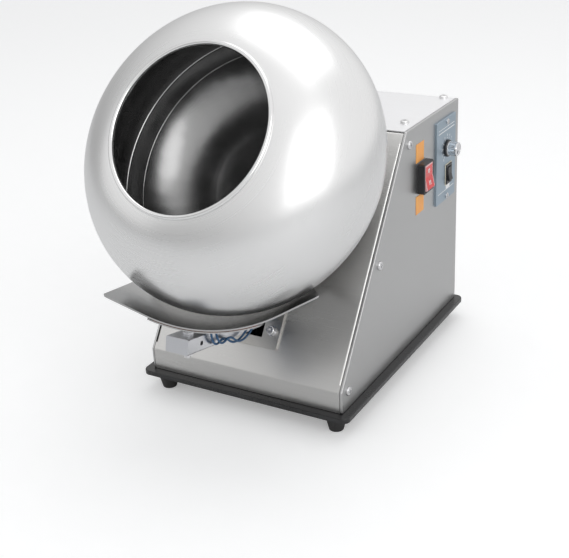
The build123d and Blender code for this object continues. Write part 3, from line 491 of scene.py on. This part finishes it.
# Knob: bright turned barrel with ridges on a black skirt, and a pointer line on its cap
knob_bright = ground_steel("knob_bright", (0.80, 0.80, 0.81), 0.1, 0.16)
KNOB_FOOT = FACE_X - KNOB_AT.x + 0.4 * MM
KNOB_TOP = KNOB_FOOT + 13 * MM
DIAL_START = radians(-140)
DIAL_SWEEP = radians(280)
skirt_profile = [(9.4, 0, 0), (9.5, 0.3, 0), (9.5, 1.5, 0), (9.1, 2.0, 0)]
barrel_profile = [
    (7.9, 2.0, 0),
    (7.9, 2.8, 0),
    (7.3, 3.1, 1),
    (7.2, 10.4, 1),
    (7.7, 10.8, 0),
    (7.7, 12.1, 0),
    (6.9, 13.0, 0),
    (5.6, 13.0, 0),
    (5.4, 12.75, 0),
]
knob_parts = []
for part_name, profile, material in (
    ("speed_knob_skirt", skirt_profile, black_plastic),
    ("speed_knob_barrel", barrel_profile, knob_bright),
):
    rows = [(r * MM, KNOB_FOOT + h * MM, share) for r, h, share in profile]
    knob_parts.append(
        revolved(part_name, rows, KNOB_AT, RIGHT, UP, OUT, material, "speed_dial", 0.55 * MM, 24)
    )
for piece in knob_parts:
    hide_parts("speed_knob")
aim = UP * cos(DIAL_START) + RIGHT * sin(DIAL_START)
pointer_at = KNOB_AT + OUT * (KNOB_TOP - 0.22 * MM) + aim * (3.4 * MM)
plate(
    "speed_knob_pointer", pointer_at, aim.cross(OUT), aim, OUT, 0.9 * MM, 3.6 * MM, 0.2 * MM, mark_dark, "speed_dial"
)

# Dial: ticks and plain numbers round the knob
TICK_COUNT = 11
MARK_DEPTH = 0.08 * MM


def dial_direction(share):
    """Outward direction on the dial at a share of its sweep, clockwise from the start."""
    turn = DIAL_START + DIAL_SWEEP * share
    return UP * cos(turn) + RIGHT * sin(turn)


def number(name, text_body, centre, size):
    """Plain number that lies on the controller's plate."""
    curve = bpy.data.curves.new(name, "FONT")
    curve.body = text_body
    curve.size = size
    curve.align_x = "CENTER"
    curve.align_y = "CENTER"
    curve.extrude = MARK_DEPTH / 2
    curve.materials.append(mark_white)
    piece = bpy.data.objects.new(name, curve)
    bpy.context.scene.collection.objects.link(piece)
    turned = Matrix((RIGHT, UP, OUT)).transposed().to_4x4()
    piece.matrix_world = Matrix.Translation(centre + OUT * MARK_DEPTH / 2) @ turned
    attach(piece, "housing")


dial_centre = Vector((FACE_X, KNOB_AT.y, KNOB_AT.z))
for k in range(TICK_COUNT):
    outward = dial_direction(k / (TICK_COUNT - 1))
    across = outward.cross(OUT)
    tick_at = dial_centre + outward * (11.6 * MM)
    plate(f"dial_tick_{k:02d}", tick_at, across, outward, OUT, 0.7 * MM, 1.9 * MM, MARK_DEPTH, mark_white, "housing")
    number(f"dial_number_{k:02d}", str(k), dial_centre + outward * (15.0 * MM), 3.8 * MM)

PLATE_Y = (corner("controller_face", False).y + corner("controller_face", True).y) / 2
PLATE_TOP = corner("controller_face", True).z
PLATE_LOW = corner("controller_face", False).z
for name, z, width, height in (
    ("dial_line_top_a", PLATE_TOP - 10.0 * MM, 45, 0.6),
    ("dial_line_top_b", PLATE_TOP - 13.6 * MM, 45, 0.9),
    ("dial_line_low_a", PLATE_LOW + 12.0 * MM, 46, 0.6),
):
    plate(name, Vector((FACE_X, PLATE_Y, z)), LEFT, UP, OUT, width * MM, height * MM, MARK_DEPTH, mark_white, "housing")
patch_at = Vector((FACE_X, RUN_AT.y - 0.5 * MM, RUN_AT.z - 14.6 * MM))
plate("run_switch_patch", patch_at, LEFT, UP, OUT, 11 * MM, 4.2 * MM, MARK_DEPTH, mark_white, "housing")

# Pale gasket rim under the run switch's lip
rim_cream = painted("run_rim_cream", (0.78, 0.74, 0.60), 0.4, 0.03)
for name, shift_y, shift_z, width, height in (
    ("run_rim_left", -8.1, 0, 1.2, 24.4),
    ("run_rim_right", 8.5, 0, 2.0, 24.4),
    ("run_rim_low", 0, -11.6, 16.2, 1.2),
    ("run_rim_top", 0, 11.6, 16.2, 1.2),
):
    rim_at = Vector((FACE_X, RUN_AT.y + shift_y * MM, RUN_AT.z + shift_z * MM))
    plate(name, rim_at, LEFT, UP, OUT, width * MM, height * MM, 0.3 * MM, rim_cream, "housing")

# Fine raised rings left by spinning inside the back bowl, and the weld where the two bowls meet
AXIS = Vector((0, -cos(LEAN), sin(LEAN)))
ALONG = Vector((0, sin(LEAN), cos(LEAN)))
RING_STEPS = 160
RING_SIDES = 6


def inner_ring(name, behind, bulge):
    """Low rounded ring on the pot's inner wall, a distance behind the equator."""
    arc = POT_RADIUS - BACK_FLAT - POT_WALL
    wall = BACK_FLAT + (arc**2 - behind**2) ** 0.5
    points = []
    faces = []
    for k in range(RING_STEPS):
        turn = 2 * pi * k / RING_STEPS
        outward = Vector((1, 0, 0)) * cos(turn) + ALONG * sin(turn)
        for j in range(RING_SIDES):
            roll = 2 * pi * j / RING_SIDES
            radius = wall + bulge * cos(roll)
            points.append(POT_CENTRE + outward * radius + AXIS * (2.2 * bulge * sin(roll) - behind))
        for j in range(RING_SIDES):
            a = k * RING_SIDES + j
            b = k * RING_SIDES + (j + 1) % RING_SIDES
            c = (a + RING_SIDES) % (RING_STEPS * RING_SIDES)
            d = (b + RING_SIDES) % (RING_STEPS * RING_SIDES)
            faces.append((a, b, d, c))
    ring = new_mesh(name, points, faces, bead_steel, "pot")
    for face in ring.data.polygons:
        face.use_smooth = True


inner_ring("pot_inner_weld", 0.0, 0.4 * MM)
inner_ring("pot_inner_ring_a", 35 * MM, 0.7 * MM)
inner_ring("pot_inner_ring_b", 51 * MM, 0.45 * MM)

# Heater leads: the same route points as the CAD tubes, in the arm's own directions
LEAD_ROUTE = [
    (15.6, 42, -14.5),
    (16.2, 55, -7.5),
    (16.4, 71, -18.5),
    (16.4, 88, -15.5),
    (15.6, 107, -1),
    (8, 131, 3.4),
    (7, 163, 3.9),
]
LEAD_STARTS = {
    "heater_lead_front": ([(16.07, 30.87, 4.88), (16.66, 31.16, -4.09)], (0, 0, 0)),
    "heater_lead_back": ([(17.49, 37.11, 5.17), (18.08, 37.39, -3.8)], (3.2, 5, 0.5)),
}
arm_turn = Matrix.Rotation(-ARM_SLOPE, 3, "X")
for name, (start, shift) in LEAD_STARTS.items():
    route = [Vector(p) for p in start]
    route += [Vector(p) + Vector(shift) for p in LEAD_ROUTE]
    places = [ARM_FRONT + arm_turn @ (p * MM) for p in route]
    curve = bpy.data.curves.new(name + "_cord", "CURVE")
    curve.dimensions = "3D"
    curve.bevel_depth = LEAD_DIAMETER / 2
    curve.bevel_resolution = 4
    curve.use_fill_caps = True
    curve.resolution_u = 10
    spline = curve.splines.new("NURBS")
    spline.points.add(len(places) - 1)
    for point, place in zip(spline.points, places):
        point.co = (*place, 1.0)
    spline.order_u = 3
    spline.use_endpoint_u = True
    lead = bpy.data.objects.new(name + "_cord", curve)
    bpy.context.scene.collection.objects.link(lead)
    curve.materials.append(lead_blue)
    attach(lead, "housing")
    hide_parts(name)

# Floor, lights and camera
FLOOR_GLOW = 0.28
FLOOR_IN_METAL = 0.1
BRIGHT_SIDE = (0.55, 0.15, 0.82)
DIM_SIDE = 0.45
floor_mesh = bpy.data.meshes.new("studio_floor")
FLOOR_HALF = 6.0
corners = [(-FLOOR_HALF, -FLOOR_HALF, 0), (FLOOR_HALF, -FLOOR_HALF, 0), (FLOOR_HALF, FLOOR_HALF, 0), (-FLOOR_HALF, FLOOR_HALF, 0)]
floor_mesh.from_pydata(corners, [], [(0, 1, 2, 3)])
floor = bpy.data.objects.new("studio_floor", floor_mesh)
bpy.context.scene.collection.objects.link(floor)
floor_look = Shader("floor_pale")
floor_look.set(Roughness=0.55, Specular_IOR_Level=0.2)
floor_grain = floor_look.noise(floor_look.place(), 40.0, 3.0, 0.5)
floor_look.plug(floor_look.blend(floor_grain, (0.86, 0.86, 0.86), (0.9, 0.9, 0.9)), "Base Color")
floor_rays = floor_look.add("ShaderNodeLightPath")
floor_seen = floor_look.math("MAXIMUM", floor_rays.outputs["Is Camera Ray"], floor_rays.outputs["Is Transmission Ray"])
floor_glossy = floor_look.math("MULTIPLY", floor_rays.outputs["Is Glossy Ray"], FLOOR_IN_METAL)
floor_glow = floor_look.add("ShaderNodeEmission")
floor_share = floor_look.math("MAXIMUM", floor_seen, floor_glossy)
floor_look.link(floor_look.math("MULTIPLY", floor_share, FLOOR_GLOW), floor_glow.inputs["Strength"])
floor_sum = floor_look.add("ShaderNodeAddShader")
floor_look.link(floor_look.surface.outputs["BSDF"], floor_sum.inputs[0])
floor_look.link(floor_glow.outputs["Emission"], floor_sum.inputs[1])
floor_output = [n for n in floor_look.tree.nodes if n.type == "OUTPUT_MATERIAL"][0]
floor_look.link(floor_sum.outputs["Shader"], floor_output.inputs["Surface"])
floor_mesh.materials.append(floor_look.material)


def soft_light(name, at, target, size, power, shape_y=None):
    """Rectangular area lamp that looks at a point."""
    lamp = bpy.data.lights.new(name, "AREA")
    lamp.shape = "RECTANGLE"
    lamp.size = size
    lamp.size_y = shape_y or size
    lamp.energy = power
    holder = bpy.data.objects.new(name, lamp)
    bpy.context.scene.collection.objects.link(holder)
    holder.location = at
    holder.rotation_euler = (Vector(target) - Vector(at)).to_track_quat("-Z", "Y").to_euler()
    return holder


CENTRE = (0, -0.05, 0.22)
soft_light("softbox_right", (1.25, -0.85, 1.05), CENTRE, 1.2, 6.5, 1.3)
soft_light("top_soft", (0.0, 0.5, 1.9), CENTRE, 1.5, 6.0)
soft_light("fill_left", (-1.5, -1.1, 0.9), CENTRE, 1.2, 2.0)

world = bpy.data.worlds.new("studio_white")
bpy.context.scene.world = world
world.use_nodes = True
tree = world.node_tree
tree.nodes.clear()
path = tree.nodes.new("ShaderNodeLightPath")
seen = tree.nodes.new("ShaderNodeMath")
seen.operation = "MAXIMUM"
tree.links.new(path.outputs["Is Camera Ray"], seen.inputs[0])
tree.links.new(path.outputs["Is Transmission Ray"], seen.inputs[1])
seen_or_glossy = tree.nodes.new("ShaderNodeMath")
seen_or_glossy.operation = "MAXIMUM"
tree.links.new(seen.outputs[0], seen_or_glossy.inputs[0])
tree.links.new(path.outputs["Is Glossy Ray"], seen_or_glossy.inputs[1])
plain = tree.nodes.new("ShaderNodeBackground")
plain.inputs["Color"].default_value = (0.98, 0.99, 1.0, 1)
plain.inputs["Strength"].default_value = 0.62

# The backdrop is white, and in metal it falls off softly away from the bright side
direction = tree.nodes.new("ShaderNodeTexCoord").outputs["Generated"]
facing = tree.nodes.new("ShaderNodeVectorMath")
facing.operation = "DOT_PRODUCT"
tree.links.new(direction, facing.inputs[0])
facing.inputs[1].default_value = BRIGHT_SIDE
falloff = tree.nodes.new("ShaderNodeMapRange")
falloff.interpolation_type = "SMOOTHSTEP"
falloff.inputs["From Min"].default_value = -0.5
falloff.inputs["From Max"].default_value = 0.6
falloff.inputs["To Min"].default_value = DIM_SIDE
falloff.inputs["To Max"].default_value = 1.0
tree.links.new(facing.outputs["Value"], falloff.inputs["Value"])
backdrop = tree.nodes.new("ShaderNodeMix")
tree.links.new(seen.outputs[0], backdrop.inputs["Factor"])
tree.links.new(falloff.outputs["Result"], backdrop.inputs["A"])
backdrop.inputs["B"].default_value = 1.0
white = tree.nodes.new("ShaderNodeBackground")
white.inputs["Color"].default_value = (1, 1, 1, 1)
tree.links.new(backdrop.outputs["Result"], white.inputs["Strength"])
mixed = tree.nodes.new("ShaderNodeMixShader")
output = tree.nodes.new("ShaderNodeOutputWorld")
tree.links.new(seen_or_glossy.outputs[0], mixed.inputs["Fac"])
tree.links.new(plain.outputs["Background"], mixed.inputs[1])
tree.links.new(white.outputs["Background"], mixed.inputs[2])
tree.links.new(mixed.outputs["Shader"], output.inputs["Surface"])

camera_data = bpy.data.cameras.new("photo_camera")
camera_data.lens = CAMERA_LENS
camera_data.sensor_fit = "HORIZONTAL"
camera_data.sensor_width = SENSOR_WIDTH
camera_data.clip_start = 0.05
camera = bpy.data.objects.new("photo_camera", camera_data)
bpy.context.scene.collection.objects.link(camera)
ahead = Vector(
    (
        -sin(CAMERA_AZIMUTH) * cos(CAMERA_ELEVATION),
        cos(CAMERA_AZIMUTH) * cos(CAMERA_ELEVATION),
        -sin(CAMERA_ELEVATION),
    )
)
level = Vector((cos(CAMERA_AZIMUTH), sin(CAMERA_AZIMUTH), 0))
above = level.cross(ahead)
right = level * cos(CAMERA_ROLL) + above * sin(CAMERA_ROLL)
top = above * cos(CAMERA_ROLL) - level * sin(CAMERA_ROLL)
turned = Matrix((right, top, -ahead)).transposed().to_4x4()
camera.matrix_world = Matrix.Translation(CAMERA_AT) @ turned
bpy.context.scene.camera = camera

bpy.context.scene.view_settings.view_transform = "Standard"
